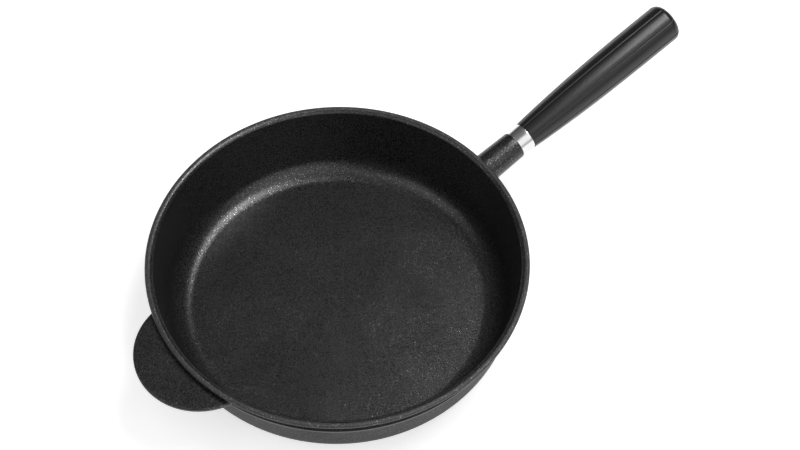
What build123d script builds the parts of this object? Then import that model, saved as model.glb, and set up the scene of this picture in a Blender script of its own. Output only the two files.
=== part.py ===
"""Cast non-stick pan with a helper lobe and a grooved handle that one long screw clamps on.

Millimetres. The pan stands on the plane z = 0, its own axis is Z and its handle points along +X.
"""
from build123d import *
from math import asin, cos, pi, radians, sin, sqrt, tan
import os

# Bowl
rim_radius = 145.0
pan_height = 65.0
base_thickness = 5.3
outer_draft = 10.0
inner_draft = 10.5
outer_corner_radius = 29.2
inner_corner_radius = 18.8

# Rim: a crowned bead that hangs over the wall
rim_width = 6.2
rim_overhang = 3.0
rim_thickness = 3.2
rim_inner_drop = 1.8
rim_crown_inset = 2.1
rim_upper_rounding = 1.5
rim_lower_rounding = 1.0
rim_inner_rounding = 0.5
undercut_slope = 0.8

# Turned rings in the underside
base_ring_count = 5
base_ring_first_radius = 22.0
base_ring_pitch = 17.0
base_ring_width = 1.8
base_ring_depth = 0.5

# Helper lobe, cast on opposite the handle
lobe_radius = 50.3
lobe_centre_inset = 20.0
lobe_drop = 5.6
lobe_thickness = 3.8
lobe_edge_rounding = 1.5
lobe_root_rounding = 1.0

# Handle axis: how far below the rim's top it crosses the rim's edge, and how steeply it climbs outward
handle_drop = 12.4
handle_pitch = 12.43

# Boss for the handle, cast on
boss_length = 33.2
boss_root_radius = 12.1
boss_end_radius = 11.4
boss_end_rounding = 1.0
boss_root_rounding = 1.5

# Spigot on the boss: it carries the ferrule, and its flats keep the grip from turning
spigot_radius = 6.5
spigot_flat_distance = 5.4
spigot_reach_in_grip = 9.0
spigot_chamfer = 0.6
thread_hole_reach_in_boss = 12.0

# Ferrule: a drawn sleeve with a turned-in front flange
ferrule_length = 11.5
ferrule_front_radius = 10.75
ferrule_back_radius = 11.3
ferrule_wall = 0.8
ferrule_edge_rounding = 0.3

# Grip: a moulded round taper with narrow grooves along it
grip_length = 154.0
grip_front_radius = 11.6
grip_butt_radius = 16.15
grip_swell_power = 2.65
grip_butt_rounding = 6.0
grip_section_count = 7
butt_section_count = 5
groove_count = 8
groove_width = 1.7
groove_depth = 0.5
groove_turn = -6.5

# Screw and its two washers, sunk in the butt
counterbore_depth = 14.0
screw_radius = 3.0
screw_reach_in_boss = 5.3
screw_head_radius = 5.25
screw_head_height = 3.3
screw_head_edge_height = 0.8
screw_head_flat_radius = 2.4
screw_socket_width = 4.0
screw_socket_depth = 2.1
screw_tip_chamfer = 0.8
washer_radius = 6.0
washer_thickness = 1.6
spring_washer_radius = 5.8
spring_washer_thickness = 1.6
spring_washer_gap = 1.2

# Fits
thread_clearance = 0.05
slide_clearance = 0.15
socket_end_clearance = 1.0
screw_bore_clearance = 0.4
counterbore_clearance = 0.7
overrun = 5.0

# Bowl places that follow from the values above
rim_under_height = pan_height - rim_thickness
wall_top_radius = rim_radius - rim_overhang
mouth_radius = rim_radius - rim_width
mouth_height = pan_height - rim_inner_drop
crown_radius = rim_radius - rim_crown_inset
outer_foot_radius = wall_top_radius - rim_under_height * tan(radians(outer_draft))
floor_corner_radius = mouth_radius - (mouth_height - base_thickness) * tan(radians(inner_draft))

# Places along the handle, counted from where its axis crosses the rim's edge
grip_start = boss_length + ferrule_length
grip_end = grip_start + grip_length
spigot_end = grip_start + spigot_reach_in_grip
washer_seat = grip_end - counterbore_depth
spring_washer_seat = washer_seat + washer_thickness
head_seat = spring_washer_seat + spring_washer_thickness
screw_tip = boss_length - screw_reach_in_boss
thread_hole_end = boss_length - thread_hole_reach_in_boss
neck_radius = ferrule_front_radius - ferrule_wall - slide_clearance
neck_start = boss_length + ferrule_wall

pitch = radians(handle_pitch)
handle_frame = Plane(
    origin=(rim_radius, 0, pan_height - handle_drop),
    x_dir=(-sin(pitch), 0, cos(pitch)),
    z_dir=(cos(pitch), 0, sin(pitch)),
)


def on_handle(solid):
    """Puts a piece that is drawn along Z onto the handle's axis. Its local X points up."""
    return handle_frame.location * solid


def rounded_corner(face, radius, across, along):
    """The face with its corner nearest to the given point rounded off."""
    corner = face.vertices().sort_by_distance((across, along, 0))[:1]
    return fillet(corner, radius)


def turned(*edges):
    """The solid of revolution about Z of a half outline, drawn with X as radius and Y as height."""
    return revolve(Plane.XZ * make_face(edges), Axis.Z)


def ring(outer, inner, low, high):
    """A plain ring, or a disc where the inner radius is zero."""
    solid = Pos(0, 0, low) * Cylinder(outer, high - low, align=(Align.CENTER, Align.CENTER, Align.MIN))
    if inner > 0:
        bore = Cylinder(inner, high - low + 2 * overrun, align=(Align.CENTER, Align.CENTER, Align.MIN))
        solid -= Pos(0, 0, low - overrun) * bore
    return solid


def crown_height(radius):
    """Height of the rim's crown: an arc with its top at the crown radius, through the mouth's edge."""
    half_width = crown_radius - mouth_radius
    arc_radius = (half_width ** 2 + rim_inner_drop ** 2) / (2 * rim_inner_drop)
    return pan_height - arc_radius + sqrt(arc_radius ** 2 - (radius - crown_radius) ** 2)


def bowl():
    """The bowl with its crowned, overhanging rim, turned from one half section."""
    rim_edge_height = crown_height(rim_radius)
    wall = Polyline(
        (0, base_thickness),
        (0, 0),
        (outer_foot_radius, 0),
        (wall_top_radius - undercut_slope * tan(radians(outer_draft)), rim_under_height - undercut_slope),
        (wall_top_radius + undercut_slope, rim_under_height),
        (rim_radius, rim_under_height),
        (rim_radius, rim_edge_height),
    )
    crown = ThreePointArc(
        (rim_radius, rim_edge_height), (crown_radius, pan_height), (mouth_radius, mouth_height)
    )
    inside = Polyline(
        (mouth_radius, mouth_height), (floor_corner_radius, base_thickness), (0, base_thickness)
    )
    section = make_face(wall + crown + inside)
    section = rounded_corner(section, outer_corner_radius, outer_foot_radius, 0)
    section = rounded_corner(section, rim_lower_rounding, rim_radius, rim_under_height)
    section = rounded_corner(section, rim_upper_rounding, rim_radius, rim_edge_height)
    section = rounded_corner(section, rim_inner_rounding, mouth_radius, mouth_height)
    section = rounded_corner(section, inner_corner_radius, floor_corner_radius, base_thickness)
    return revolve(Plane.XZ * section, Axis.Z)


def inside_of_wall():
    """Everything within the middle of the floor, wall and rim bead, up past the boss."""
    wall_middle_radius = wall_top_radius - (rim_width - rim_overhang) / 2
    top = pan_height + boss_length
    return turned(
        *Polyline(
            (0, base_thickness / 2),
            (floor_corner_radius, base_thickness / 2),
            (wall_middle_radius, rim_under_height),
            (crown_radius, pan_height - rim_thickness / 2),
            (crown_radius, top),
            (0, top),
            (0, base_thickness / 2),
        ).edges()
    )


def lobe():
    """The flat helper lobe: a round plate with rounded edges, cut off within the wall."""
    top = pan_height - lobe_drop
    disc = Pos(lobe_centre_inset - rim_radius, 0, 0) * ring(lobe_radius, 0, top - lobe_thickness, top)
    disc = fillet(disc.edges().filter_by(GeomType.CIRCLE), lobe_edge_rounding)
    return disc - inside_of_wall()


def boss():
    """The tapered boss, from within the wall to its rounded end."""
    root = -(rim_width + rim_overhang + overrun)
    taper = (boss_root_radius - boss_end_radius) / boss_length
    cone = turned(
        *Polyline(
            (0, root),
            (boss_root_radius - root * taper, root),
            (boss_end_radius, boss_length),
            (0, boss_length),
            (0, root),
        ).edges()
    )
    end_edge = cone.edges().filter_by(GeomType.CIRCLE).sort_by(Axis.Z)[-1:]
    return on_handle(fillet(end_edge, boss_end_rounding)) - inside_of_wall()


def flatted_rod(radius, flat_distance, low, high):
    """A round rod along Z with a flat on each side."""
    rod = ring(radius, 0, low, high)
    across = (2 * flat_distance, 2 * radius + overrun)
    sides = Box(*across, high - low, align=(Align.CENTER, Align.CENTER, Align.MIN))
    return rod & (Pos(0, 0, low) * sides)


def spigot():
    """The flatted spigot on the boss's end, with a lead-in chamfer."""
    rod = flatted_rod(spigot_radius, spigot_flat_distance, boss_length - overrun, spigot_end)
    end_edges = rod.faces().sort_by(Axis.Z)[-1].edges()
    return on_handle(chamfer(end_edges, spigot_chamfer))


def base_rings():
    """Shallow turned grooves round the middle of the underside."""
    grooves = Part()
    for index in range(base_ring_count):
        middle = base_ring_first_radius + index * base_ring_pitch
        half = base_ring_width / 2
        grooves += ring(middle + half, middle - half, -overrun, base_ring_depth)
    return grooves


def cast_on(body, piece, root_rounding):
    """The body with a piece cast on, its root rounded wherever it lies on the wall below the rim."""
    joined = body + piece
    wall_top = rim_under_height - undercut_slope
    root = new_edges(body, piece, combined=joined).filter_by(lambda edge: edge.center().Z < wall_top)
    return fillet(root, root_rounding)


def pan_body():
    """The casting: bowl, rim, helper lobe, boss, spigot and the tapped hole for the handle's screw."""
    body = cast_on(bowl(), lobe(), lobe_root_rounding)
    body = cast_on(body, boss(), boss_root_rounding)
    body += spigot()
    body -= base_rings()
    thread_hole = ring(screw_radius + thread_clearance, 0, thread_hole_end, spigot_end + overrun)
    return body - on_handle(thread_hole)


def ferrule():
    """The drawn sleeve round the grip's neck, with a front flange that sits on the boss."""
    back = grip_start
    front = boss_length
    sleeve = turned(
        *Polyline(
            (spigot_radius + slide_clearance, front),
            (ferrule_front_radius, front),
            (ferrule_back_radius, back),
            (ferrule_back_radius - ferrule_wall, back),
            (ferrule_front_radius - ferrule_wall, front + ferrule_wall),
            (spigot_radius + slide_clearance, front + ferrule_wall),
            (spigot_radius + slide_clearance, front),
        ).edges()
    )
    outer_edges = sleeve.edges().filter_by(GeomType.CIRCLE).sort_by(SortBy.RADIUS)[-2:]
    return on_handle(fillet(outer_edges, ferrule_edge_rounding))


def grooved_section(radius, height):
    """A round section with grooves: each is an arc from lip to lip, and each land an arc to the next."""
    step = 2 * pi / groove_count
    lip_turn = asin(groove_width / 2 / radius)

    def point(distance, angle):
        return (distance * cos(angle), distance * sin(angle), height)

    edges = []
    for index in range(groove_count):
        groove = radians(groove_turn) + index * step
        land = groove + step / 2
        lip_before = point(radius, groove - lip_turn)
        lip_after = point(radius, groove + lip_turn)
        next_lip = point(radius, groove + step - lip_turn)
        edges.append(ThreePointArc(lip_before, point(radius - groove_depth, groove), lip_after))
        edges.append(ThreePointArc(lip_after, point(radius, land), next_lip))
    return Face(Wire(edges))


def grip_radius_at(share):
    """Radius over the lands at a share of the straight grip, from its front to its butt rounding."""
    swell = grip_butt_radius - grip_front_radius
    return grip_butt_radius - swell * (1 - share) ** grip_swell_power


def grooved_taper():
    """The swelling grooved grip, lofted, with its grooves carried round the butt's edge."""
    straight_length = grip_length - grip_butt_rounding
    shares = [index / (grip_section_count - 1) for index in range(grip_section_count)]
    taper = loft(
        [grooved_section(grip_radius_at(share), grip_start + share * straight_length) for share in shares]
    )
    turns = [index / (butt_section_count - 1) * pi / 2 for index in range(butt_section_count)]
    butt = loft(
        [
            grooved_section(
                grip_butt_radius - grip_butt_rounding * (1 - cos(turn)),
                grip_end - grip_butt_rounding * (1 - sin(turn)),
            )
            for turn in turns
        ]
    )
    return taper + butt


def grip():
    """The moulded grip: grooved taper, neck for the ferrule, socket, screw bore and counterbore."""
    body = grooved_taper() + ring(neck_radius, 0, neck_start, grip_start)
    socket = flatted_rod(
        spigot_radius + slide_clearance,
        spigot_flat_distance + slide_clearance,
        neck_start - overrun,
        spigot_end + socket_end_clearance,
    )
    screw_bore = ring(screw_radius + screw_bore_clearance, 0, neck_start, grip_end)
    counterbore = ring(washer_radius + counterbore_clearance, 0, washer_seat, grip_end + overrun)
    return on_handle(body - socket - screw_bore - counterbore)


def handle_screw():
    """The long screw: a domed head with a hexagon socket on a plain shank with a chamfered tip."""
    shank = ring(screw_radius, 0, screw_tip, head_seat)
    tip_edge = shank.edges().filter_by(GeomType.CIRCLE).sort_by(Axis.Z)[:1]
    shank = chamfer(tip_edge, screw_tip_chamfer)
    head_top = head_seat + screw_head_height
    dome_start = (screw_head_flat_radius, head_top)
    dome_end = (screw_head_radius, head_seat + screw_head_edge_height)
    straight = Polyline(dome_start, (0, head_top), (0, head_seat), (screw_head_radius, head_seat), dome_end)
    head = turned(*straight.edges(), TangentArc(dome_start, dome_end, tangent=(1, 0)))
    hexagon = RegularPolygon(screw_socket_width / 2, 6, major_radius=False)
    socket = Pos(0, 0, head_top - screw_socket_depth) * extrude(hexagon, screw_socket_depth + overrun)
    return on_handle(shank + (head - socket))


def flat_washer():
    """The plain washer on the counterbore's floor."""
    hole = screw_radius + screw_bore_clearance
    return on_handle(ring(washer_radius, hole, washer_seat, spring_washer_seat))


def spring_washer():
    """The split washer, pressed flat between the plain washer and the head."""
    washer = ring(spring_washer_radius, screw_radius + slide_clearance, spring_washer_seat, head_seat)
    slit = Box(
        spring_washer_radius + overrun,
        spring_washer_gap,
        spring_washer_thickness + 2 * overrun,
        align=(Align.MIN, Align.CENTER, Align.MIN),
    )
    return on_handle(washer - Pos(0, 0, spring_washer_seat - overrun) * slit)


parts = {
    "pan_body": pan_body,
    "handle_ferrule": ferrule,
    "handle_grip": grip,
    "handle_screw": handle_screw,
    "flat_washer": flat_washer,
    "spring_washer": spring_washer,
}

os.makedirs("parts", exist_ok=True)
for name, make in parts.items():
    export_step(make(), "parts/" + name + ".step")
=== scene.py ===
"""Cast non-stick pan with a helper lobe and a grooved handle: its surfaces, finishes, light and camera.

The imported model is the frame. Lengths are millimetres in the pan's own frame, with Z up and the handle
towards +X, and become metres where a mesh is made. Angles are degrees.
"""

import logging
from dataclasses import dataclass, field
from enum import Enum, IntEnum
from typing import Self

import bmesh
import bpy
import numpy as np
from mathutils import Matrix, Vector

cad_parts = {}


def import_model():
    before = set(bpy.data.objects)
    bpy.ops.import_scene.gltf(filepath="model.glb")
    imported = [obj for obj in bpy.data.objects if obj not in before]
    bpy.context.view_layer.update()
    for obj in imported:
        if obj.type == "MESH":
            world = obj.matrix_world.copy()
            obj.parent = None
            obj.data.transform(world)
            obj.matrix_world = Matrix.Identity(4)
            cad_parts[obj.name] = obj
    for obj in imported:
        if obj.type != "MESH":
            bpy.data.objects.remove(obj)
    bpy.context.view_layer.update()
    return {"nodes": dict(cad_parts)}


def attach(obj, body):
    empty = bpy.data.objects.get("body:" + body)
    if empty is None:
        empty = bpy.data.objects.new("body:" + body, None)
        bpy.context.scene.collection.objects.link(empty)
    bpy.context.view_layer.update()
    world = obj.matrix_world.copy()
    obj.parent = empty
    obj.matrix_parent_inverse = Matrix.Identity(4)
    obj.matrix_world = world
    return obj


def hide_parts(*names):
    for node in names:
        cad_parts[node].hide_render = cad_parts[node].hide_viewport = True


MILLIMETRE = 0.001
WELD = 1e-4
SHARP_CASTING = 32.0
SHARP_FINE = 40.0
ROOT = "root"
LOG = logging.getLogger("pan")

Colour = tuple[float, float, float]
Pair = tuple[float, float]
Array = np.ndarray
Object = bpy.types.Object
Socket = bpy.types.NodeSocket
Outputs = bpy.types.NodeOutputs


class Slot(Enum):
    """The record's material slots."""

    CASTING = "non_stick_casting"
    POLISHED = "polished_steel"
    GRIP = "moulded_grip"
    ZINC = "zinc_steel"
    SPRING = "spring_steel"


class Side(IntEnum):
    """The casting's finishes, by the order of its material slots, painted sheen, shade and highlight among
    them.
    """

    COOKING = 0
    # Rim crown: a lighter colour that is painted sheen; its grain, flecks and roughness are its own.
    RIM_PAINTED_SHEEN = 1
    OUTER = 2
    BASE = 3
    # Painted shade: a matt black band on the wall under the rim, where the rim's shade falls.
    PAINTED_SHADE = 4
    # Painted highlight: a lighter band on the wall just below the painted shade.
    PAINTED_HIGHLIGHT = 5


class Join(Enum):
    """Ways to combine two closed shells."""

    UNION = "UNION"
    DIFFERENCE = "DIFFERENCE"


# Outlines and surfaces


def unit(angle: Array | float) -> Array:
    """The unit vector (cos angle, sin angle) for angles in degrees, with the pair on the last axis."""
    turn = np.radians(angle)
    return np.stack([np.cos(turn), np.sin(turn)], axis=-1)


def heading(azimuth: float, elevation: float) -> Vector:
    """The unit direction at an azimuth and an elevation in degrees."""
    level, up = unit(elevation)
    return Vector((*(level * unit(azimuth)), up))


def corner_centre(edge: float, rounding: float, draft: float) -> float:
    """Radius at the centre of a rounding, between a floor and the wall that leans out from its edge."""
    slope = np.radians(draft)
    return edge + rounding * (np.tan(slope) - 1 / np.cos(slope))


class Outline:
    """A half section in radius and height, drawn as arcs and straight runs one after another."""

    def __init__(self) -> None:
        """Starts an empty outline."""
        self.runs: list[Array] = []
        self.marks: list[Array] = []

    def arc(
        self, centre: Array, radius: float, start: float, end: float, steps: int, mark: int = 0
    ) -> Self:
        """Adds an arc: centre + radius * (cos angle, sin angle), with the angle even from start to end."""
        return self.points(np.asarray(centre) + radius * unit(np.linspace(start, end, steps)), mark)

    def points(self, points: Array | list, mark: int = 0) -> Self:
        """Adds corners as they are.

        Args:
            points: one corner or a list of them, as radius and height.
            mark: the finish of what starts at these corners.

        Returns:
            The outline itself.
        """
        corners = np.atleast_2d(np.asarray(points, float))
        self.runs.append(corners)
        self.marks.append(np.full(len(corners), mark))
        return self

    def divided(self, longest: float) -> tuple[Array, Array]:
        """The outline with every straight run cut into equal steps.

        A run of length L becomes ceil(L / longest) steps.

        Args:
            longest: the longest step that stays.

        Returns:
            Points as an array of (radius, height), and the mark of each.
        """
        corners = np.concatenate(self.runs)
        marks = np.concatenate(self.marks)
        lengths = np.linalg.norm(np.diff(corners, axis=0), axis=1)
        counts = np.maximum(1, np.ceil(lengths / longest)).astype(int)
        index = np.repeat(np.arange(len(counts)), counts)
        share = (np.arange(counts.sum()) - np.repeat(np.cumsum(counts) - counts, counts)) / counts[index]
        steps = corners[index] + share[:, None] * (corners[index + 1] - corners[index])
        return np.vstack([steps, corners[-1:]]), np.append(marks[index], marks[-1])


def turned(outline: Array, steps: int) -> Array:
    """An outline turned about Z: (radius * cos a, radius * sin a, height) over outline points and angles.

    Args:
        outline: points of (radius, height).
        steps: number of angles round the axis.

    Returns:
        An array of outline points by angles by three.
    """
    around = unit(np.arange(steps) * 360.0 / steps)
    flat = outline[:, None, :1] * around[None]
    height = np.broadcast_to(outline[:, None, 1:], flat.shape[:2] + (1,))
    return np.concatenate([flat, height], axis=2)


@dataclass(frozen=True)
class Placement:
    """Where a piece drawn in its own axes stands: an origin and the directions of its X, Y and Z."""

    origin: Array
    axes: Array

    def place(self, local: Array) -> Array:
        """Points in the pan's frame: origin + x * X + y * Y + z * Z."""
        return self.origin + local @ self.axes


def linked(name: str, data: bpy.types.ID) -> Object:
    """Puts a new object into the scene.

    Args:
        name: the object's name.
        data: its mesh, lamp or camera.

    Returns:
        The new object.
    """
    made = bpy.data.objects.new(name, data)
    bpy.context.scene.collection.objects.link(made)
    return made


def shell(name: str, grid: Array, marks: Array | None = None, closed: bool = False) -> Object:
    """A closed mesh from a grid of points whose columns run round and whose rows run along.

    Corner (i, j) makes the face (i, j), (i, j + 1), (i + 1, j + 1), (i + 1, j). Rows that fall on one
    point become a pole, and open end rows are closed with one face each.

    Args:
        name: the object's name.
        grid: rows by columns by three, in millimetres.
        marks: the material index of each row's faces, all 0 where it is left out.
        closed: whether the last row joins the first.

    Returns:
        The new object, with its faces outward.
    """
    rows, columns = grid.shape[:2]
    bands = rows if closed else rows - 1
    row = np.arange(bands)[:, None]
    column = np.arange(columns)[None]
    here, following = row * columns, (row + 1) % rows * columns
    beside = (column + 1) % columns
    corners = [here + column, here + beside, following + beside, following + column]
    quads = np.stack(corners, axis=-1).reshape(-1, 4)
    mesh = bpy.data.meshes.new(name)
    mesh.from_pydata((grid.reshape(-1, 3) * MILLIMETRE).tolist(), [], quads.tolist())
    if marks is not None:
        mesh.polygons.foreach_set("material_index", np.repeat(marks[:bands], columns).astype(np.int32))
    edit = bmesh.new()
    edit.from_mesh(mesh)
    bmesh.ops.remove_doubles(edit, verts=edit.verts, dist=WELD * MILLIMETRE)
    open_edges = [edge for edge in edit.edges if edge.is_boundary]
    if open_edges:
        bmesh.ops.holes_fill(edit, edges=open_edges, sides=0)
    bmesh.ops.recalc_face_normals(edit, faces=edit.faces)
    edit.to_mesh(mesh)
    edit.free()
    return linked(name, mesh)


def combine(base: Object, tool: Object, how: Join) -> None:
    """Joins a tool shell to the base or cuts it away, and removes the tool.

    Args:
        base: the shell that is changed.
        tool: the shell that is used up.
        how: whether it is added or cut away.
    """
    step = base.modifiers.new(how.name.lower(), "BOOLEAN")
    step.operation, step.solver, step.object = how.value, "EXACT", tool
    bpy.context.view_layer.update()
    result = bpy.data.meshes.new_from_object(base.evaluated_get(bpy.context.evaluated_depsgraph_get()))
    base.modifiers.clear()
    base.data = result
    bpy.data.objects.remove(tool)


def root_fillet(
    name: str, root: Array, wall: Array, side: Array, radius: float, sunk: float, steps: int = 7
) -> Object:
    """A concave strip that fills the corner between a wall and a side that stands on it.

    A ball that touches both has its centre at root + radius * (wall + side) / (1 + wall . side). The
    strip's face is the ball's near side, from one touch to the other, and its back lies in the corner.

    Args:
        name: the object's name.
        root: points along the corner, where the last is the first if it runs round.
        wall: the wall's outward directions there.
        side: the side's outward directions there.
        radius: the fillet's radius.
        sunk: how far the ball stands into both, so that the strip's edges sink in.
        steps: points across the strip's face.

    Returns:
        The strip, closed round or capped at both ends.
    """
    both = (wall + side) / (1 + np.sum(wall * side, axis=1, keepdims=True))
    centre = root + (radius - sunk) * both
    share = np.linspace(0, 1, steps)[None, :, None]
    toward = (1 - share) * wall[:, None] + share * side[:, None]
    toward /= np.linalg.norm(toward, axis=2, keepdims=True)
    face = centre[:, None] - radius * toward
    back = root - radius * both
    looped = bool(np.allclose(root[0], root[-1]))
    grid = np.concatenate([face, back[:, None]], axis=1)
    return shell(name, grid[:-1] if looped else grid, closed=looped)


def smooth(piece: Object, sharpest: float) -> None:
    """Shades a piece smooth, apart from edges that turn by more than an angle in degrees."""
    piece.data.shade_smooth()
    piece.data.set_sharp_from_angle(angle=np.radians(sharpest))


def dress(piece: Object, slot: Slot, *materials: bpy.types.Material) -> None:
    """Gives a piece its materials.

    Args:
        piece: the piece that is dressed.
        slot: not used.
        *materials: the materials, in the order of the piece's own material slots.
    """
    piece.data.materials.clear()
    for material in materials:
        piece.data.materials.append(material)


def carried(piece: Object, node: str) -> None:
    """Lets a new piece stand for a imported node, on the same body.

    Args:
        piece: the new piece.
        node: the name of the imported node.
    """
    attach(piece, ROOT)
    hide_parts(node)
    LOG.info("%s stands for %s, %d faces", piece.name, node, len(piece.data.polygons))


# Shared effects, as node groups that put out only varying values


class Tree:
    """A node tree being built, with short ways to add nodes and join them."""

    def __init__(self, tree: bpy.types.NodeTree) -> None:
        """Takes an empty node tree."""
        self.tree = tree

    @classmethod
    def of(cls, owner: bpy.types.Material | bpy.types.World) -> Self:
        """Empties the tree of a material or a world.

        Args:
            owner: the material or the world.

        Returns:
            Its tree, ready to be built.
        """
        owner.use_nodes = True
        owner.node_tree.nodes.clear()
        return cls(owner.node_tree)

    def give(self, socket: Socket, value: object) -> None:
        """Feeds an input from a socket, or sets it to a value."""
        if isinstance(value, Socket):
            self.tree.links.new(value, socket)
        else:
            socket.default_value = value

    def add(self, kind: str, inputs: dict | None = None, **settings) -> bpy.types.Node:
        """Adds a node.

        Args:
            kind: the node's type name, without its ShaderNode or NodeGroup prefix.
            inputs: for each input, by name or number, the value or the socket that feeds it.
            **settings: the node's own properties.

        Returns:
            The new node.
        """
        prefix = "" if kind.startswith("NodeGroup") else "ShaderNode"
        node = self.tree.nodes.new(prefix + kind)
        for name, value in settings.items():
            setattr(node, name, value)
        for name, value in (inputs or {}).items():
            self.give(node.inputs[name], value)
        return node

    def math(self, operation: str, *values: object, clamp: bool = False) -> Socket:
        """The result of a Math node on the given values or sockets."""
        return self.add("Math", dict(enumerate(values)), operation=operation, use_clamp=clamp).outputs[0]

    def scaled(self, vector: Socket, size: object) -> Socket:
        """A vector in metres counted in pattern sizes, where the size is in millimetres."""
        factor = self.math("DIVIDE", 1.0 / MILLIMETRE, size)
        return self.add("VectorMath", {0: vector, "Scale": factor}, operation="SCALE").outputs[0]

    def ramp(self, value: Socket, low: float, high: float, to: Pair = (0.0, 1.0)) -> Socket:
        """A smooth step: the value mapped from low..high to the given range."""
        inputs = {"Value": value, "From Min": low, "From Max": high, "To Min": to[0], "To Max": to[1]}
        return self.add("MapRange", inputs, interpolation_type="SMOOTHSTEP").outputs[0]

    def blend(self, share: object, dark: object, light: object) -> Socket:
        """A colour mixed from two by a share."""
        colours = [(*value, 1.0) if isinstance(value, tuple) else value for value in (dark, light)]
        return self.add("Mix", {0: share, 6: colours[0], 7: colours[1]}, data_type="RGBA").outputs[2]


class Effect:
    """A node group with named inputs and outputs, built once and placed in many materials."""

    name = ""
    inputs: dict[str, float | None] = {}
    outputs: tuple[str, ...] = ()

    @classmethod
    def group(cls) -> bpy.types.NodeTree:
        """The effect's node group, made at its first use.

        Returns:
            The group's tree.
        """
        known = bpy.data.node_groups.get(cls.name)
        if known:
            return known
        tree = bpy.data.node_groups.new(cls.name, "ShaderNodeTree")
        for name, value in cls.inputs.items():
            kind = "NodeSocketVector" if value is None else "NodeSocketFloat"
            socket = tree.interface.new_socket(name, in_out="INPUT", socket_type=kind)
            if value is not None:
                socket.default_value = value
        for name in cls.outputs:
            tree.interface.new_socket(name, in_out="OUTPUT", socket_type="NodeSocketFloat")
        builder = Tree(tree)
        given = builder.add("NodeGroupInput").outputs
        results = cls.build(builder, given)
        builder.add("NodeGroupOutput", dict(zip(cls.outputs, results)))
        return tree

    @classmethod
    def build(cls, tree: Tree, given: Outputs) -> tuple[Socket, ...]:
        """Builds the nodes from the group's inputs, and returns what feeds its outputs, in their order."""
        raise NotImplementedError

    @classmethod
    def use(cls, tree: Tree, **values: object) -> Outputs:
        """Places the group in a material.

        Args:
            tree: the material's tree.
            **values: for each input, in lower case with underscores, its value or the socket that feeds it.

        Returns:
            The group's outputs.
        """
        node = tree.add("Group", node_tree=cls.group())
        for name, value in values.items():
            tree.give(node.inputs[name.replace("_", " ").capitalize()], value)
        return node.outputs


class Flecks(Effect):
    """Small light flecks strewn in a coat: a share of its cells carry one, of a random brightness."""

    name = "Flecks"
    inputs = {"Vector": None, "Size": 0.8, "Share": 0.85, "Spread": 0.6}
    outputs = ("Mask",)
    faintest = 0.15
    rarity = 5.0

    @classmethod
    def build(cls, tree: Tree, given: Outputs) -> tuple[Socket, ...]:
        """Mask = the cell's brightness, if its random number is under the share, fading from its middle.

        The brightness is faintest + (1 - faintest) * r^rarity of another random number r, so that most
        flecks are faint and a few sparkle.

        Args:
            tree: the group's tree.
            given: the group's inputs.

        Returns:
            The mask.
        """
        place = tree.scaled(given["Vector"], given["Size"])
        cell = tree.add("TexVoronoi", {"Vector": place, "Scale": 1.0, "Randomness": 1.0})
        random = tree.add("SeparateColor", {0: cell.outputs["Color"]}).outputs
        chosen = tree.math("LESS_THAN", random[0], given["Share"])
        away = tree.math("DIVIDE", cell.outputs["Distance"], given["Spread"])
        near = tree.math("SUBTRACT", 1.0, away, clamp=True)
        sparkle = tree.math("POWER", random[1], cls.rarity)
        bright = tree.math("MULTIPLY_ADD", sparkle, 1.0 - cls.faintest, cls.faintest)
        return (tree.math("MULTIPLY", tree.math("MULTIPLY", near, chosen), bright),)


class Grain(Effect):
    """The fine relief of a sprayed or moulded surface: noise at a size, with a coarser one under it."""

    name = "Grain"
    inputs = {"Vector": None, "Size": 0.6, "Coarseness": 4.0, "Coarse share": 0.4}
    outputs = ("Height",)

    @classmethod
    def build(cls, tree: Tree, given: Outputs) -> tuple[Socket, ...]:
        """Height = fine noise + share * noise that is coarser by a factor.

        Args:
            tree: the group's tree.
            given: the group's inputs.

        Returns:
            The height.
        """
        fine_place = tree.scaled(given["Vector"], given["Size"])
        coarse_size = tree.math("MULTIPLY", given["Size"], given["Coarseness"])
        coarse_place = tree.scaled(given["Vector"], coarse_size)
        fine = tree.add("TexNoise", {"Vector": fine_place, "Scale": 1.0, "Detail": 2.0, "Roughness": 0.6})
        coarse = tree.add("TexNoise", {"Vector": coarse_place, "Scale": 1.0, "Detail": 1.0})
        under = tree.math("MULTIPLY", coarse.outputs[0], given["Coarse share"])
        return (tree.math("ADD", fine.outputs[0], under),)


class Marks(Effect):
    """Handling marks: faint smudges and hairline scratches that change how a surface shines."""

    name = "Handling marks"
    inputs = {"Vector": None, "Smudge size": 30.0, "Scratch size": 3.0}
    outputs = ("Smudge", "Scratch")
    smudge_range = (0.35, 0.7)
    scratch_turn = (0.3, 0.5, 0.9)
    scratch_stretch = (0.08, 1.0, 1.0)
    scratch_width = 0.012

    @classmethod
    def build(cls, tree: Tree, given: Outputs) -> tuple[Socket, ...]:
        """Smudge = soft noise from 0 to 1. Scratch = thin crests of a noise stretched along one way.

        Args:
            tree: the group's tree.
            given: the group's inputs.

        Returns:
            The smudge and the scratch.
        """
        soft_place = tree.scaled(given["Vector"], given["Smudge size"])
        soft = tree.add("TexNoise", {"Vector": soft_place, "Scale": 1.0, "Detail": 3.0, "Distortion": 0.6})
        smudge = tree.ramp(soft.outputs[0], *cls.smudge_range)
        fine_place = tree.scaled(given["Vector"], given["Scratch size"])
        stretch = {"Vector": fine_place, "Rotation": cls.scratch_turn, "Scale": cls.scratch_stretch}
        long_way = tree.add("Mapping", stretch).outputs[0]
        lines = tree.add("TexNoise", {"Vector": long_way, "Scale": 1.0, "Detail": 4.0, "Roughness": 0.7})
        crest = tree.math("ABSOLUTE", tree.math("SUBTRACT", lines.outputs[0], 0.5))
        return smudge, tree.ramp(crest, 0.0, cls.scratch_width, (1.0, 0.0))


# Finishes


@dataclass(frozen=True)
class Surface:
    """What a finish builds on: its tree, the piece's own coordinates, the grain's height, the smudges."""

    tree: Tree
    place: Socket
    grain: Socket
    smudge: Socket


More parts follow.
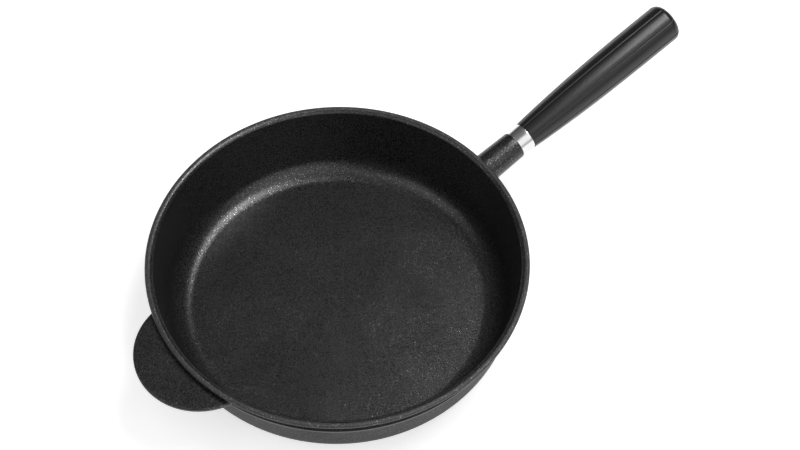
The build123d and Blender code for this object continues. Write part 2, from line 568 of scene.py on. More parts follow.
@dataclass(frozen=True)
class Finish:
    """A surface with a grain in its relief, and with smudges and hairline scratches in its shine.

    The roughness is the least that it has, where neither a smudge nor a scratch dulls it.
    """

    name: str
    roughness: float
    dark: Colour
    light: Colour
    grain_tone: Pair = (0.4, 1.0)
    metallic: float = 0.0
    shine: float = 0.5
    grain_size: float = 0.5
    grain_height: float = 0.004
    coarseness: float = 8.0
    coarse_share: float = 0.6
    bump: float = 0.4
    smudge_size: float = 9.0
    scratch_size: float = 1.2
    smudge_dull: float = 0.06
    scratch_dull: float = 0.1

    def looks(self, at: Surface) -> dict[str, Socket]:
        """What feeds the shader's inputs and its Height: here a colour that lightens with the grain."""
        tone = at.tree.ramp(at.grain, *self.grain_tone)
        return {"Base Color": at.tree.blend(tone, self.dark, self.light)}

    def material(self) -> bpy.types.Material:
        """Builds the material.

        Its roughness is the least one + smudge_dull * smudge + scratch_dull * scratch.

        Returns:
            The new material.
        """
        material = bpy.data.materials.new(self.name)
        tree = Tree.of(material)
        place = tree.add("TexCoord").outputs["Object"]
        noise = {"size": self.grain_size, "coarseness": self.coarseness, "coarse_share": self.coarse_share}
        grain = Grain.use(tree, vector=place, **noise)["Height"]
        marks = Marks.use(tree, vector=place, smudge_size=self.smudge_size, scratch_size=self.scratch_size)
        dull = tree.math("MULTIPLY_ADD", marks["Smudge"], self.smudge_dull, self.roughness)
        if self.scratch_dull:
            dull = tree.math("MULTIPLY_ADD", marks["Scratch"], self.scratch_dull, dull)
        looks = self.looks(Surface(tree, place, grain, marks["Smudge"]))
        relief = {"Height": looks.pop("Height", grain), "Strength": self.bump}
        bump = tree.add("Bump", {**relief, "Distance": self.grain_height * MILLIMETRE}).outputs[0]
        shine = {"Metallic": self.metallic, "Specular IOR Level": self.shine, "Roughness": dull}
        shader = tree.add("BsdfPrincipled", {**shine, "Normal": bump, **looks})
        tree.add("OutputMaterial", {"Surface": shader.outputs[0]})
        return material


@dataclass(frozen=True)
class SpeckledCoat(Finish):
    """A sprayed non-stick coat on a casting: near black, with fine metal flecks and a sandy relief."""

    dark: Colour = (0.0045, 0.0045, 0.0047)
    light: Colour = (0.00855, 0.00855, 0.00893)
    grain_tone: Pair = (0.45, 1.0)
    fleck: Colour = (0.5, 0.5, 0.51)
    fleck_size: float = 0.8
    fleck_share: float = 0.85
    fleck_spread: float = 0.6
    fleck_relief: float = 0.3
    fleck_metal: float = 4.0
    grain_size: float = 0.55
    grain_height: float = 0.07
    coarseness: float = 2.5
    coarse_share: float = 0.4
    bump: float = 1.0
    smudge_size: float = 45.0
    scratch_dull: float = 0.0

    def looks(self, at: Surface) -> dict[str, Socket]:
        """A dark coat that is lighter on its grain, under flecks of metal that stand out a little.

        Args:
            at: what the finish builds on.

        Returns:
            The coat's colour, its share of metal, and its relief.
        """
        size = {"size": self.fleck_size, "share": self.fleck_share, "spread": self.fleck_spread}
        flecks = Flecks.use(at.tree, vector=at.place, **size)["Mask"]
        coat = super().looks(at)["Base Color"]
        return {
            "Base Color": at.tree.blend(flecks, coat, self.fleck),
            "Metallic": at.tree.math("MULTIPLY", flecks, self.fleck_metal, clamp=True),
            "Height": at.tree.math("MULTIPLY_ADD", flecks, self.fleck_relief, at.grain),
        }


@dataclass(frozen=True)
class Moulding(Finish):
    """A satin moulded grip: near black, with a faint grain and handling marks in its shine."""

    dark: Colour = (0.009, 0.009, 0.0095)
    light: Colour = (0.014, 0.014, 0.0145)
    grain_size: float = 0.35
    grain_height: float = 0.008
    coarseness: float = 12.0
    coarse_share: float = 0.1
    bump: float = 0.5
    smudge_size: float = 22.0
    scratch_size: float = 2.5
    smudge_dull: float = 0.02
    scratch_dull: float = 0.01


@dataclass(frozen=True)
class Metal(Finish):
    """Bare or plated steel, from polished to dull, with fine working marks."""

    metallic: float = 1.0

    def looks(self, at: Surface) -> dict[str, Socket]:
        """A metal that is darker under its smudges."""
        return {"Base Color": at.tree.blend(at.smudge, self.light, self.dark)}


# Sub-assemblies


@dataclass(frozen=True)
class HandleAxis:
    """The line that the handle follows, and the places along it, counted from the rim's edge."""

    rim_radius: float = 145.0
    crossing_height: float = 52.6
    pitch: float = 12.43
    boss_end: float = 33.2
    grip_start: float = 44.7
    spigot_end: float = 53.7
    grip_end: float = 198.7

    def placement(self) -> Placement:
        """The handle's own axes: local X points up, Y across and Z out along the handle.

        Returns:
            The handle's placement.
        """
        across, up = unit(self.pitch)
        axes = np.array([[-up, 0, across], [0, -1, 0], [across, 0, up]])
        return Placement(np.array([self.rim_radius, 0, self.crossing_height]), axes)


@dataclass
class Casting:
    """The cast body: bowl with crowned rim, helper lobe, handle boss and spigot, joined to one shell."""

    handle: HandleAxis
    rim_radius: float = 145.0
    height: float = 65.0
    floor_height: float = 5.3
    outer_draft: float = 10.0
    inner_draft: float = 10.5
    outer_corner: float = 29.2
    inner_corner: float = 18.8
    rim_width: float = 6.2
    rim_overhang: float = 3.0
    rim_thickness: float = 3.2
    rim_inner_drop: float = 1.8
    crown_inset: float = 2.1
    upper_rounding: float = 1.5
    lower_rounding: float = 1.0
    inner_rounding: float = 0.5
    undercut_slope: float = 0.8
    # How far down the wall under the rim the band of painted shade reaches.
    painted_shade_depth: float = 13.6
    # Height of the band of painted highlight on the wall.
    painted_highlight_height: float = 2.4
    inner_coat_end: float = 104.0
    ring_count: int = 5
    first_ring: float = 22.0
    ring_pitch: float = 17.0
    ring_width: float = 1.8
    ring_depth: float = 0.5
    ring_slope: float = 0.25
    lobe_radius: float = 50.3
    lobe_centre: float = 125.0
    lobe_drop: float = 5.6
    lobe_thickness: float = 3.8
    lobe_rounding: float = 1.5
    lobe_fillet: float = 1.0
    boss_root_radius: float = 12.1
    boss_end_radius: float = 11.4
    boss_rounding: float = 1.0
    boss_fillet: float = 1.5
    spigot_radius: float = 6.5
    spigot_flat: float = 5.4
    hole_radius: float = 3.05
    hole_start: float = 21.2
    boss_fillet_turn: Pair = (30.0, 330.0)
    newton_steps: int = 8
    sunk: float = 0.06
    longest: float = 4.0
    steps: int = 480
    side_steps: int = 240
    hidden_steps: int = 120
    coats: dict[Side, Finish] = field(default_factory=dict)

    @property
    def under_height(self) -> float:
        """Height of the rim's underside."""
        return self.height - self.rim_thickness

    def wall_radius(self, height: Array | float) -> Array | float:
        """The outer wall's radius at a height: it leans out by its draft up to the rim's underside."""
        lean = np.tan(np.radians(self.outer_draft))
        return self.rim_radius - self.rim_overhang - (self.under_height - height) * lean

    def wall_outward(self, points: Array) -> Array:
        """The wall's outward directions: away from the pan's axis, and tipped down by the draft.

        Args:
            points: points on the outer wall.

        Returns:
            A unit direction at each point.
        """
        level = points * [1, 1, 0] / np.linalg.norm(points[:, :2], axis=1, keepdims=True)
        across, up = unit(self.outer_draft)
        return level * across - np.array([0, 0, up])

    @property
    def boss_taper(self) -> float:
        """How much the boss's radius falls over each millimetre along it."""
        return (self.boss_root_radius - self.boss_end_radius) / self.handle.boss_end

    def bowl_outline(self) -> Outline:
        """The bowl's half section, from the floor's middle over the rim to the base's middle.

        The crown is an arc through the mouth's edge with its top at the crown's radius. The roundings
        beside it are circles that touch it from within and touch the rim's edge or the inner wall.

        Returns:
            The outline, marked with the finish of each stretch, painted sheen, shade and highlight among
            them.
        """
        mouth = np.array([self.rim_radius - self.rim_width, self.height - self.rim_inner_drop])
        crown_at = self.rim_radius - self.crown_inset
        half = crown_at - mouth[0]
        crown = (half**2 + self.rim_inner_drop**2) / (2 * self.rim_inner_drop)
        crown_centre = np.array([crown_at, self.height - crown])

        upper_across = self.rim_radius - self.upper_rounding
        rise = np.sqrt((crown - self.upper_rounding) ** 2 - (upper_across - crown_at) ** 2)
        upper_centre = (upper_across, crown_centre[1] + rise)
        upper_angle = np.degrees(np.arctan2(rise, upper_across - crown_at))

        into_wall = unit(-self.inner_draft)
        along_wall = unit(90 - self.inner_draft)
        offset = mouth + self.inner_rounding * into_wall - crown_centre
        run = offset @ along_wall
        reach = np.sqrt(run**2 - offset @ offset + (crown - self.inner_rounding) ** 2) - run
        inner_centre = crown_centre + offset + reach * along_wall
        inner_angle = np.degrees(np.arctan2(*(inner_centre - crown_centre)[::-1]))

        floor_edge = mouth[0] - (mouth[1] - self.floor_height) * np.tan(np.radians(self.inner_draft))
        corner_in = corner_centre(floor_edge, self.inner_corner, self.inner_draft)
        corner_out = corner_centre(self.wall_radius(0.0), self.outer_corner, self.outer_draft)
        low_centre = (corner_in, self.floor_height + self.inner_corner)
        under_centre = (self.rim_radius - self.lower_rounding, self.under_height + self.lower_rounding)
        base_centre = (corner_out, self.outer_corner)
        slope_end = self.rim_radius - self.rim_overhang + self.undercut_slope
        wall_top = self.under_height - self.undercut_slope
        # The band of painted shade ends and the band of painted highlight begins here; the next line ends
        # it.
        painted_highlight_top = self.under_height - self.painted_shade_depth
        painted_highlight_end = painted_highlight_top - self.painted_highlight_height

        outline = Outline().points([0, self.floor_height], Side.COOKING)
        draft = self.inner_draft
        outline.arc(low_centre, self.inner_corner, -90, -draft, steps=18, mark=Side.COOKING)
        outline.arc(inner_centre, self.inner_rounding, 180 - draft, inner_angle, steps=5, mark=Side.COOKING)
        outline.arc(crown_centre, crown, inner_angle, self.inner_coat_end, steps=6, mark=Side.COOKING)
        # The crown's outer part and the upper rounding take the rim coat, lighter for painted sheen.
        outline.arc(crown_centre, crown, self.inner_coat_end, upper_angle, steps=8, mark=Side.RIM_PAINTED_SHEEN)
        outline.arc(upper_centre, self.upper_rounding, upper_angle, 0, steps=8, mark=Side.RIM_PAINTED_SHEEN)
        # Under the rim: a band of painted shade, then a band of painted highlight, then the outer coat.
        outline.arc(under_centre, self.lower_rounding, 0, -90, steps=7, mark=Side.PAINTED_SHADE)
        outline.points([slope_end, self.under_height], Side.PAINTED_SHADE)
        outline.points([self.wall_radius(wall_top), wall_top], Side.PAINTED_SHADE)
        outline.points([self.wall_radius(painted_highlight_top), painted_highlight_top], Side.PAINTED_HIGHLIGHT)
        outline.points([self.wall_radius(painted_highlight_end), painted_highlight_end], Side.OUTER)
        outline.arc(base_centre, self.outer_corner, -self.outer_draft, -90, steps=22, mark=Side.OUTER)
        return outline.points(self.groove_corners(), Side.BASE).points([0, 0], Side.BASE)

    def groove_corners(self) -> Array:
        """Corners of the base's turned grooves, outermost first: each has sloped sides and a flat floor.

        Returns:
            Points of (radius, height).
        """
        middle = self.first_ring + self.ring_pitch * np.arange(self.ring_count)[::-1, None]
        half = self.ring_width / 2
        across = np.array([half, half - self.ring_slope, self.ring_slope - half, -half])
        up = np.array([0, self.ring_depth, self.ring_depth, 0])
        corners = np.stack([middle + across, np.broadcast_to(up, (self.ring_count, 4))], axis=-1)
        return corners.reshape(-1, 2)

    def bowl(self) -> Object:
        """The bowl, turned from its outline."""
        outline, marks = self.bowl_outline().divided(self.longest)
        return shell("cast_body", turned(outline, self.steps), marks)

    def inside_of_wall(self) -> Object:
        """All that lies within the middle of the floor, wall and rim, to trim what is cast on outside.

        Returns:
            The trimming shell.
        """
        top = self.height + self.handle.boss_end
        crown_at = self.rim_radius - self.crown_inset
        wall_middle = self.rim_radius - (self.rim_width + self.rim_overhang) / 2
        floor_edge = self.wall_radius(0.0) - (self.rim_width - self.rim_overhang)
        outline = Outline().points([[0, self.floor_height / 2], [floor_edge, self.floor_height / 2]])
        outline.points([wall_middle, self.under_height])
        outline.points([[crown_at, self.height - self.rim_thickness / 2], [crown_at, top], [0, top]])
        return shell("inside", turned(outline.divided(top)[0], self.hidden_steps))

    def lobe_outline(self) -> Array:
        """The lobe's half section about its own centre, a plate with rounded edges, from top to bottom.

        Returns:
            Points of (radius, height).
        """
        top = self.height - self.lobe_drop
        low = top - self.lobe_thickness
        across = self.lobe_radius - self.lobe_rounding
        outline = Outline().points([0, top])
        outline.arc((across, top - self.lobe_rounding), self.lobe_rounding, 90, 0, steps=9)
        outline.arc((across, low + self.lobe_rounding), self.lobe_rounding, 0, -90, steps=9)
        return outline.points([0, low]).divided(self.longest)[0]

    def lobe(self) -> Object:
        """The helper lobe, trimmed within the wall.

        Returns:
            The lobe's shell.
        """
        disc = turned(self.lobe_outline(), 2 * self.side_steps) - np.array([self.lobe_centre, 0, 0])
        plate = shell("lobe", disc)
        combine(plate, self.inside_of_wall(), Join.DIFFERENCE)
        return plate

    def lobe_root(self) -> Object:
        """The fillet where the lobe leaves the wall, all the way round its section.

        A point of the lobe's edge at distance d from the lobe's centre meets a wall of radius r at the
        angle a from the lobe's middle with cos a = (r^2 + c^2 - d^2) / (2 r c), where c is how far out
        the lobe's centre lies. Its side faces away from the nearest point within all of its roundings.

        Returns:
            The fillet as a ring-shaped shell.
        """
        edge = self.lobe_outline()
        edge = edge[edge[:, 0] > self.lobe_radius - self.lobe_rounding - self.sunk]
        wall = self.wall_radius(edge[:, 1])
        cosine = (wall**2 + self.lobe_centre**2 - edge[:, 0] ** 2) / (2 * wall * self.lobe_centre)
        angle = np.arccos(cosine)
        flat = np.linspace(-1, 1, self.hidden_steps)[1:-1]
        over, under = np.full(len(flat), edge[0, 1]), np.full(len(flat), edge[-1, 1])
        height = np.concatenate([over, edge[:, 1], under, edge[::-1, 1]])
        around = np.concatenate([flat * angle[0], angle, -flat * angle[-1], -angle[::-1]])
        height, around = np.append(height, height[0]), np.append(around, around[0])
        wall = self.wall_radius(height)
        root = np.stack([-wall * np.cos(around), wall * np.sin(around), height], axis=1)
        top = self.height - self.lobe_drop - self.lobe_rounding
        low = self.height - self.lobe_drop - self.lobe_thickness + self.lobe_rounding
        side = root + np.array([self.lobe_centre, 0, 0])
        reach = np.linalg.norm(side[:, :2], axis=1, keepdims=True)
        side[:, :2] *= np.maximum(1 - (self.lobe_radius - self.lobe_rounding) / reach, 0)
        side[:, 2] -= np.clip(height, low, top)
        side /= np.linalg.norm(side, axis=1, keepdims=True)
        return root_fillet("lobe_root", root, self.wall_outward(root), side, self.lobe_fillet, self.sunk)

    def boss(self) -> Object:
        """The tapered boss with its rounded end, flatted spigot and screw hole, trimmed within the wall.

        Returns:
            The boss's shell.
        """
        start = -(self.rim_width + self.rim_overhang + self.boss_fillet)
        end = self.handle.boss_end
        tip = self.handle.spigot_end
        outline = Outline().points([[0, start], [self.boss_root_radius - start * self.boss_taper, start]])
        rounding = self.boss_rounding
        outline.arc((self.boss_end_radius - rounding, end - rounding), rounding, 0, 90, steps=7)
        outline.points([[self.spigot_radius, end], [self.spigot_radius, tip], [self.hole_radius, tip]])
        outline.points([[self.hole_radius, self.hole_start], [0, self.hole_start]])
        grid = turned(outline.divided(2 * self.longest)[0], self.side_steps)
        on_spigot = (grid[..., 2] > end + self.sunk)[..., None] * np.array([True, False, False])
        grid = np.where(on_spigot, np.clip(grid, -self.spigot_flat, self.spigot_flat), grid)
        piece = shell("boss", self.handle.placement().place(grid))
        combine(piece, self.inside_of_wall(), Join.DIFFERENCE)
        return piece

    def boss_root(self) -> Object:
        """The fillet where the boss leaves the wall, from one side of the rim round below to the other.

        A line of the boss at the angle a is origin + s Z + (R - s taper) (cos a X + sin a Y). The place s
        where its distance from the pan's axis is the wall's radius at its height comes from Newton's steps
        on the whole row of angles at once.

        Returns:
            The fillet as a strip whose ends lie in the rim.
        """
        place = self.handle.placement()
        angle = np.radians(np.linspace(*self.boss_fillet_turn, self.side_steps))
        spoke = np.cos(angle)[:, None] * place.axes[0] + np.sin(angle)[:, None] * place.axes[1]
        slant = place.axes[2] - self.boss_taper * spoke
        along = np.zeros(len(angle))
        for _ in range(self.newton_steps):
            point = place.origin + self.boss_root_radius * spoke + along[:, None] * slant
            reach = np.linalg.norm(point[:, :2], axis=1)
            miss = reach - self.wall_radius(point[:, 2])
            slope = np.sum(point[:, :2] * slant[:, :2], axis=1) / reach
            along -= miss / (slope - np.tan(np.radians(self.outer_draft)) * slant[:, 2])
        root = place.origin + self.boss_root_radius * spoke + along[:, None] * slant
        return root_fillet("boss_root", root, self.wall_outward(root), spoke, self.boss_fillet, self.sunk)

    def build(self) -> Object:
        """Joins the parts to one shell and dresses it.

        The bowl is marked stretch by stretch. What is cast on outside keeps mark 0, the cooking coat.

        Returns:
            The dressed casting.
        """
        body = self.bowl()
        for part in (self.lobe(), self.lobe_root(), self.boss(), self.boss_root()):
            combine(body, part, Join.UNION)
        smooth(body, SHARP_CASTING)
        indices = np.zeros(len(body.data.polygons), np.int32)
        body.data.polygons.foreach_get("material_index", indices)
        dress(body, Slot.CASTING, *[self.coats[side].material() for side in Side])
        body.data.polygons.foreach_set("material_index", indices)
        carried(body, "pan_body")
        return body


@dataclass
class Ferrule:
    """The drawn sleeve between boss and grip, with its turned-in front flange."""

    handle: HandleAxis
    front_radius: float = 10.75
    back_radius: float = 11.3
    wall: float = 0.8
    bore_radius: float = 6.65
    rounding: float = 0.3
    longest: float = 2.0
    steps: int = 192
    finish: Finish | None = None

    def outline(self) -> Array:
        """The sleeve's closed section: outside, back lip, inside, flange and its bore.

        Returns:
            Points of (radius, place along the handle).
        """
        front, back = self.handle.boss_end, self.handle.grip_start
        outline = Outline().points([self.bore_radius, front])
        rounding = self.rounding
        outline.arc((self.front_radius - rounding, front + rounding), rounding, -90, 0, steps=6)
        outline.arc((self.back_radius - rounding, back - rounding), rounding, 0, 90, steps=6)
        flange = front + self.wall
        outline.points([[self.back_radius - self.wall, back], [self.front_radius - self.wall, flange]])
        outline.points([[self.bore_radius, flange], [self.bore_radius, front + rounding]])
        return outline.divided(self.longest)[0]

    def build(self) -> Object:
        """Turns the sleeve on the handle's axis and dresses it.

        Returns:
            The dressed sleeve.
        """
        grid = self.handle.placement().place(turned(self.outline(), self.steps))
        sleeve = shell("ferrule_sleeve", grid, closed=True)
        smooth(sleeve, SHARP_FINE)
        dress(sleeve, Slot.POLISHED, self.finish.material())
        carried(sleeve, "handle_ferrule")
        return sleeve


@dataclass
class Grip:
    """The moulded grip: a swelling round taper with narrow grooves, a rounded butt and the bores within."""

    handle: HandleAxis
    front_radius: float = 11.6
    butt_radius: float = 16.15
    swell_power: float = 2.65
    butt_rounding: float = 6.0
    neck_radius: float = 9.8
    neck_start: float = 34.0
    socket_radius: float = 6.65
    socket_flat: float = 5.55
    socket_end: float = 54.7
    bore_radius: float = 3.4
    counterbore_radius: float = 6.7
    counterbore_floor: float = 184.7
    front_rounding: float = 0.35
    mouth_rounding: float = 0.4
    groove_count: int = 8
    groove_width: float = 1.7
    groove_depth: float = 0.5
    groove_turn: float = -6.5
    lip_rounding: float = 0.12
    groove_reach: float = 1.5
    groove_steps: int = 26
    land_steps: int = 26
    front_rows: int = 5
    taper_rows: int = 56
    butt_rows: int = 22
    longest: float = 12.0
    finish: Finish | None = None

    def section_angles(self, radius: Array) -> tuple[Array, Array]:
        """Angles round each row, close together in the grooves and wide apart on the lands.

        A groove's stretch reaches from -g to g about its middle, with g a little over the turn of its
        lip, asin(w / 2 r), and the land's stretch fills the rest of the step.

        Args:
            radius: each row's radius over the lands.

        Returns:
            Angles in radians, and the angle from the nearest groove's middle, as rows by columns.
        """
        step = 2 * np.pi / self.groove_count
        reach = self.groove_reach * np.arcsin(self.groove_width / 2 / radius)[:, None]
        across = np.linspace(-1, 1, self.groove_steps, endpoint=False)[None]
        along = np.linspace(0, 1, self.land_steps, endpoint=False)[None]
        from_groove = np.concatenate([reach * across, reach + along * (step - 2 * reach)], axis=1)
        middles = np.radians(self.groove_turn) + step * np.arange(self.groove_count)
        angle = (middles[None, :, None] + from_groove[:, None]).reshape(len(radius), -1)
        nearest = np.minimum(np.abs(from_groove), step - np.abs(from_groove))
        return angle, np.tile(nearest, (1, self.groove_count))

    def grooved(self, radius: Array, turn: Array) -> Array:
        """Distance from the axis at an angle from a groove's middle.

        The groove is an arc through its two lips on the land's circle and its bottom, d deeper. With the
        sagitta s = r cos(lip) - (r - d), its radius is f = (w^2 / 4 + s^2) / 2 s and its centre lies at
        c = r - d + f, so a ray at the angle t meets it at c cos t - sqrt(f^2 - c^2 sin^2 t). A smooth
        minimum of land and groove rounds the lips.

        Args:
            radius: each row's radius over the lands.
            turn: angles from the nearest groove's middle, rows by columns.

        Returns:
            Distances, rows by columns.
        """
        land = radius[:, None]
        half = self.groove_width / 2
        sagitta = np.sqrt(land**2 - half**2) - (land - self.groove_depth)
        arc = (half**2 + sagitta**2) / (2 * sagitta)
        centre = land - self.groove_depth + arc
        hollow = centre * np.cos(turn) - np.sqrt(np.maximum(arc**2 - (centre * np.sin(turn)) ** 2, 0))
        outside = (centre * np.sin(turn)) ** 2 >= arc**2
        hollow = np.where(outside, land + self.lip_rounding, hollow)
        share = np.clip(0.5 + 0.5 * (land - hollow) / self.lip_rounding, 0, 1)
        return land + share * (hollow - land) - self.lip_rounding * share * (1 - share)

    def outside(self) -> Array:
        """Radius over the lands and place of the grooved rows: the swelling taper, then the rounded butt.

        The taper's radius is R - (R - r) (1 - t)^p over the share t of its length, and the butt's is
        R - e (1 - cos a) at the place end - e (1 - sin a).

        Returns:
            Rows of (radius, place along the handle).
        """
        start, end = self.handle.grip_start, self.handle.grip_end
        share = np.linspace(0, 1, self.taper_rows)
        radius = self.butt_radius - (self.butt_radius - self.front_radius) * (1 - share) ** self.swell_power
        taper = np.stack([radius, start + share * (end - self.butt_rounding - start)], axis=1)
        turn = np.linspace(0, 90, self.butt_rows)[1:]
        lead = unit(np.linspace(0, 90, self.front_rows)) - 1
        taper[0] = taper[0] + [0, self.front_rounding]
        front = taper[0] + self.front_rounding * lead[:-1, ::-1]
        butt_centre = np.array([self.butt_radius, end]) - self.butt_rounding
        return np.vstack([front, taper, butt_centre + self.butt_rounding * unit(turn)])

    def inside(self) -> Array:
        """Rows from the butt's flat end down the counterbore, bore and socket and back outside the neck.

        Returns:
            Rows of (radius, place along the handle).
        """
        end = self.handle.grip_end
        mouth = (self.counterbore_radius + self.mouth_rounding, end - self.mouth_rounding)
        outline = Outline().arc(mouth, self.mouth_rounding, 90, 180, steps=6)
        floor = self.counterbore_floor
        outline.points([[self.counterbore_radius, floor], [self.bore_radius, floor]])
        outline.points([[self.bore_radius, self.socket_end], [self.socket_radius, self.socket_end]])
        outline.points([[self.socket_radius, self.neck_start], [self.neck_radius, self.neck_start]])
        return outline.points([self.neck_radius, self.handle.grip_start]).divided(self.longest)[0]

    def build(self) -> Object:
        """Carries the section along the handle's axis and dresses the grip.

        Returns:
            The dressed grip.
        """
        outside, inside = self.outside(), self.inside()
        rows = np.vstack([outside, inside])
        angle, turn = self.section_angles(np.append(outside[:, 0], np.full(len(inside), outside[-1, 0])))
        distance = np.broadcast_to(rows[:, :1], angle.shape).copy()
        distance[: len(outside)] = self.grooved(outside[:, 0], turn[: len(outside)])
        height = np.broadcast_to(rows[:, 1:], angle.shape)
        grid = np.stack([distance * np.cos(angle), distance * np.sin(angle), height], axis=-1)
        in_socket = np.isclose(rows[:, 0], self.socket_radius)[:, None]
        flatted = np.clip(grid[..., 0], -self.socket_flat, self.socket_flat)
        grid[..., 0] = np.where(in_socket, flatted, grid[..., 0])
        grip = shell("grooved_grip", self.handle.placement().place(grid), closed=True)
        smooth(grip, SHARP_FINE)
        dress(grip, Slot.GRIP, self.finish.material())
        carried(grip, "handle_grip")
        return grip


@dataclass
class Fasteners:
    """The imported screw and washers, which keep their shapes and take plated and phosphated finishes."""

    nodes: dict[str, Object]
    finishes: dict[str, tuple[Slot, Finish]]

    def build(self) -> None:
        """Dresses each fastener."""
        for name, (slot, finish) in self.finishes.items():
            dress(self.nodes[name], slot, finish.material())
            LOG.info("%s keeps its packed shape", name)


@dataclass
class Lamp:
    """A soft box: a rectangular lamp that faces the pan from an azimuth and an elevation, in metres."""

    name: str
    azimuth: float
    elevation: float
    distance: float
    width: float
    height: float
    power: float

    def build(self, target: Vector) -> None:
        """Hangs the lamp and turns it to the target.

        Args:
            target: the point that it faces, in metres.
        """
        data = bpy.data.lights.new(self.name, "AREA")
        data.shape, data.size, data.size_y, data.energy = "RECTANGLE", self.width, self.height, self.power
        lamp = linked(self.name, data)
        away = heading(self.azimuth, self.elevation)
        lamp.location = target + away * self.distance
        lamp.rotation_euler = away.to_track_quat("Z", "Y").to_euler()


@dataclass
class Studio:
    """The plain pale floor, the soft surroundings and the soft boxes, in metres.

    A rise is the pair of heights of a direction, or of shares towards the window's middle, between which
    the light changes.
    """

    floor_half_width: float = 6.0
    floor_colour: Colour = (0.8, 0.8, 0.8)
    floor_glow: float = 0.62
    dim_sky: float = 0.1
    overhead_sky: float = 0.2
    overhead_rise: Pair = (0.3, 1.0)
    window: float = 1.4
    window_azimuth: float = -94.0
    window_elevation: float = 42.0
    window_rise: Pair = (0.76, 0.98)
    horizon: float = 0.95
    horizon_rise: Pair = (0.1, 0.22)
    aim_height: float = 0.03
    lamps: tuple[Lamp, ...] = (
        Lamp("overhead_box", -11.0, 67.0, 2.6, 1.5, 0.75, 35.0),
        Lamp("left_box", 160.0, 60.0, 1.4, 1.0, 1.0, 3.0),
    )

    @staticmethod
    def shown(tree: Tree) -> Socket:
        """Tells rays from the camera, or by way of gloss or glass, from all others.

        Args:
            tree: the material's tree.

        Returns:
            1 or 0.
        """
        path = tree.add("LightPath").outputs
        glossy = tree.math("MAXIMUM", path["Is Glossy Ray"], path["Is Transmission Ray"])
        return tree.math("MAXIMUM", path["Is Camera Ray"], glossy)

    def floor(self) -> None:
        """A wide floor at height zero that takes the shadow and reads as white."""
        mesh = bpy.data.meshes.new("floor")
        corners = self.floor_half_width * np.array([[-1, -1, 0], [1, -1, 0], [1, 1, 0], [-1, 1, 0]])
        mesh.from_pydata(corners.tolist(), [], [[0, 1, 2, 3]])
        material = bpy.data.materials.new("floor")
        tree = Tree.of(material)
        matte = tree.add("BsdfDiffuse", {"Color": (*self.floor_colour, 1.0)})
        light = tree.add("Emission", {"Strength": tree.math("MULTIPLY", self.shown(tree), self.floor_glow)})
        both = tree.add("AddShader", {0: matte.outputs[0], 1: light.outputs[0]})
        tree.add("OutputMaterial", {"Surface": both.outputs[0]})
        mesh.materials.append(material)
        linked("floor", mesh)

    def surroundings(self) -> None:
        """Soft light from all round: dim, brighter overhead, with one wide window and a white horizon.

        With u the height of a direction and s its share towards the window's middle, the light is the
        greater of haze(u) and overhead(u) + window(s), each a smooth step.
        """
        bpy.context.scene.world = bpy.data.worlds.new("studio")
        tree = Tree.of(bpy.context.scene.world)
        direction = tree.add("TexCoord").outputs["Generated"]
        up = tree.add("SeparateXYZ", {0: direction}).outputs[2]
        toward = heading(self.window_azimuth, self.window_elevation)
        side = tree.add("VectorMath", {0: direction, 1: toward}, operation="DOT_PRODUCT").outputs["Value"]
        overhead = tree.ramp(up, *self.overhead_rise, (self.dim_sky, self.overhead_sky))
        window = tree.ramp(side, *self.window_rise, (0.0, self.window))
        haze = tree.ramp(up, *self.horizon_rise, (self.horizon, 0.0))
        light = tree.math("MAXIMUM", tree.math("ADD", overhead, window), haze)
        back = tree.add("Background", {"Strength": light})
        tree.add("OutputWorld", {"Surface": back.outputs[0]})

    def build(self) -> None:
        """Lays the floor and sets the light."""
        self.floor()
        self.surroundings()
        for lamp in self.lamps:
            lamp.build(Vector((0.0, 0.0, self.aim_height)))


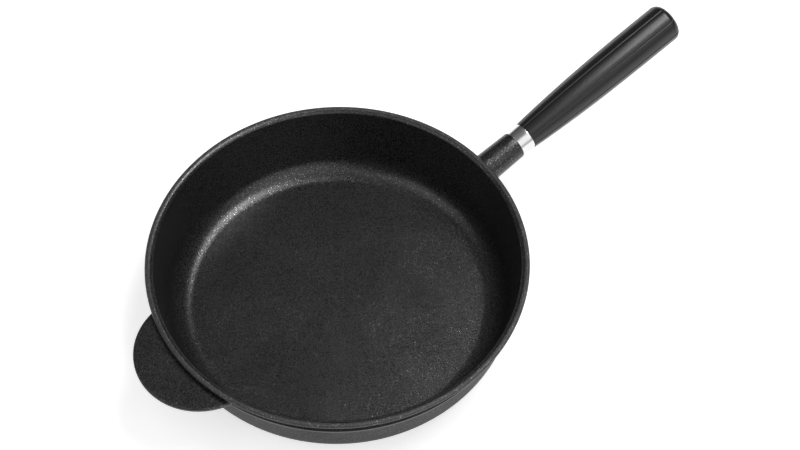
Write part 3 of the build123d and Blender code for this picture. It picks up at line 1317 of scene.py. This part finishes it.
@dataclass
class View:
    """The camera: where it stands, in metres, and how it is turned from looking straight at the pan."""

    azimuth: float = -125.882
    elevation: float = 56.236
    distance: float = 1.2828
    target_height: float = 0.0638
    yaw: float = -2.138
    pitch: float = -1.007
    roll: float = -2.118
    lens: float = 76.5

    def build(self) -> None:
        """Makes the camera and gives it to the scene."""
        data = bpy.data.cameras.new("camera")
        data.lens = self.lens
        camera = linked("camera", data)
        away, across = heading(self.azimuth, self.elevation), heading(self.azimuth + 90, 0)
        straight = Matrix((across, away.cross(across), away)).transposed().to_4x4()
        yaw, pitch, roll = np.radians([self.yaw, self.pitch, self.roll])
        turn = Matrix.Rotation(yaw, 4, "Y") @ Matrix.Rotation(-pitch, 4, "X")
        turn @= Matrix.Rotation(roll, 4, "Z")
        place = Vector((0, 0, self.target_height)) + away * self.distance
        camera.matrix_world = Matrix.Translation(place) @ straight @ turn
        bpy.context.scene.camera = camera


def main() -> None:
    """Loads the frame, builds and dresses the sub-assemblies in order, and sets the light and camera."""
    logging.basicConfig(level=logging.INFO, format="%(message)s")
    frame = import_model()
    bpy.context.scene.view_settings.view_transform = "Standard"
    handle = HandleAxis()
    # The rim coat's lighter colours are painted sheen on the crown, which is the same coat as the rest.
    rim = {"dark": (0.018, 0.018, 0.0185), "light": (0.0342, 0.0342, 0.03515)}
    # Lighter colours of the band of painted highlight below the rim.
    painted_highlight = {"dark": (0.05, 0.05, 0.051), "light": (0.095, 0.095, 0.0969)}
    coats = {
        Side.COOKING: SpeckledCoat("cooking_coat", 0.22),
        # Rim: coarser grain and flecks, and a lighter colour that is painted sheen.
        Side.RIM_PAINTED_SHEEN: SpeckledCoat("rim_coat_painted_sheen", 0.42, fleck_size=0.9, grain_height=0.12, **rim),
        Side.OUTER: SpeckledCoat("outer_coat", 0.55, shine=0.35, fleck_share=0.4),
        Side.BASE: SpeckledCoat("base_coat", 0.37, fleck_share=0.2),
        # Painted shade: a matt black coat on the band under the rim.
        Side.PAINTED_SHADE: SpeckledCoat("painted_shade_coat", 0.77, shine=0.05, fleck_share=0.1),
        # Painted highlight: a lighter coat on the band below the painted shade.
        Side.PAINTED_HIGHLIGHT: SpeckledCoat("painted_highlight_coat", 0.47, fleck_share=0.2, **painted_highlight),
    }
    Casting(handle, coats=coats).build()
    fine = {"grain_height": 0.0002, "smudge_dull": 0.02, "scratch_dull": 0.01}
    polished = Metal("polished_ferrule", 0.17, dark=(0.68, 0.68, 0.68), light=(0.74, 0.74, 0.74), **fine)
    Ferrule(handle, finish=polished).build()
    Grip(handle, finish=Moulding("moulded_grip", 0.27)).build()
    zinc = Metal("zinc_plate", 0.3, dark=(0.42, 0.43, 0.45), light=(0.62, 0.63, 0.65))
    phosphate = Metal("phosphated_spring", 0.45, dark=(0.08, 0.08, 0.085), light=(0.16, 0.16, 0.165))
    finishes = {
        "handle_screw": (Slot.ZINC, zinc),
        "flat_washer": (Slot.ZINC, zinc),
        "spring_washer": (Slot.SPRING, phosphate),
    }
    Fasteners(frame["nodes"], finishes).build()
    Studio().build()
    View().build()


if __name__ == "__main__":
    main()
